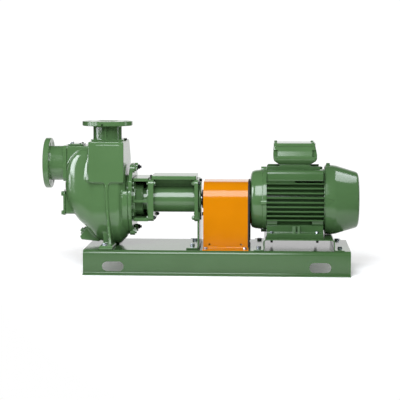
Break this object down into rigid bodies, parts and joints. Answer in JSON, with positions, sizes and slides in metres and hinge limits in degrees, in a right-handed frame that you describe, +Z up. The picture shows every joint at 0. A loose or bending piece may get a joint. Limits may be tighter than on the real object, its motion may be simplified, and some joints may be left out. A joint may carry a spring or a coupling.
{
  "type": "centrifugal pump set",
  "caption": "Self priming centrifugal pump with flanged suction and discharge, driven by a finned electric motor on a folded steel base.",
  "frame": {"origin": "centre of the bounding box at floor level", "axes": "+X along the shaft from the pump to the motor, +Y across the set, +Z up"},
  "size_m": [1.244, 0.41, 0.59],
  "materials": {
    "base_frame": "gloss",
    "pump_casing": "gloss",
    "suction_nozzle": "gloss",
    "discharge_nozzle": "gloss",
    "priming_cover": "gloss",
    "inspection_cover": "gloss",
    "drain_plug": "satin",
    "casing_cover": "gloss",
    "bearing_lantern": "gloss",
    "seal_housing": "gloss",
    "bearing_plate_pump_side": "gloss",
    "bearing_plate_motor_side": "gloss",
    "bearing_housing": "gloss",
    "bracket_top_plate": "gloss",
    "oil_plug": "satin",
    "bearing_cover": "gloss",
    "support_leg": "gloss",
    "coupling_guard": "gloss",
    "motor_pedestal": "gloss",
    "motor_frame": "gloss",
    "motor_foot_near": "gloss",
    "motor_foot_far": "gloss",
    "drive_end_shield": "gloss",
    "fan_end_shield": "gloss",
    "fan_cover": "gloss",
    "terminal_box_neck": "gloss",
    "terminal_box": "gloss",
    "terminal_box_lid": "gloss",
    "pump_shaft": "satin",
    "coupling_hub_pump": "matt",
    "coupling_insert": "matt",
    "coupling_hub_motor": "matt",
    "motor_shaft": "satin",
    "cooling_fan": "matt"
  },
  "bodies": {
    "pump_set": {"base_frame": "base_frame", "pump_casing": "pump_casing", "suction_nozzle": "suction_nozzle", "discharge_nozzle": "discharge_nozzle", "priming_cover": "priming_cover", "inspection_cover": "inspection_cover", "drain_plug": "drain_plug", "casing_cover": "casing_cover", "bearing_lantern": "bearing_lantern", "seal_housing": "seal_housing", "bearing_plate_pump_side": "bearing_plate_pump_side", "bearing_plate_motor_side": "bearing_plate_motor_side", "bearing_housing": "bearing_housing", "bracket_top_plate": "bracket_top_plate", "oil_plug": "oil_plug", "bearing_cover": "bearing_cover", "support_leg": "support_leg", "coupling_guard": "coupling_guard", "motor_pedestal": "motor_pedestal", "motor_frame": "motor_frame", "motor_foot_near": "motor_foot_near", "motor_foot_far": "motor_foot_far", "drive_end_shield": "drive_end_shield", "fan_end_shield": "fan_end_shield", "fan_cover": "fan_cover", "terminal_box_neck": "terminal_box_neck", "terminal_box": "terminal_box", "terminal_box_lid": "terminal_box_lid"},
    "rotor": {"pump_shaft": "pump_shaft", "coupling_hub_pump": "coupling_hub_pump", "coupling_insert": "coupling_insert", "coupling_hub_motor": "coupling_hub_motor", "motor_shaft": "motor_shaft", "cooling_fan": "cooling_fan"}
  },
  "joints": [
    {"name": "shaft_spin", "type": "hinge", "parent": "pump_set", "child": "rotor", "pos_m": [0, 0, 0.28], "axis": [1, 0, 0], "continuous": true}
  ]
}
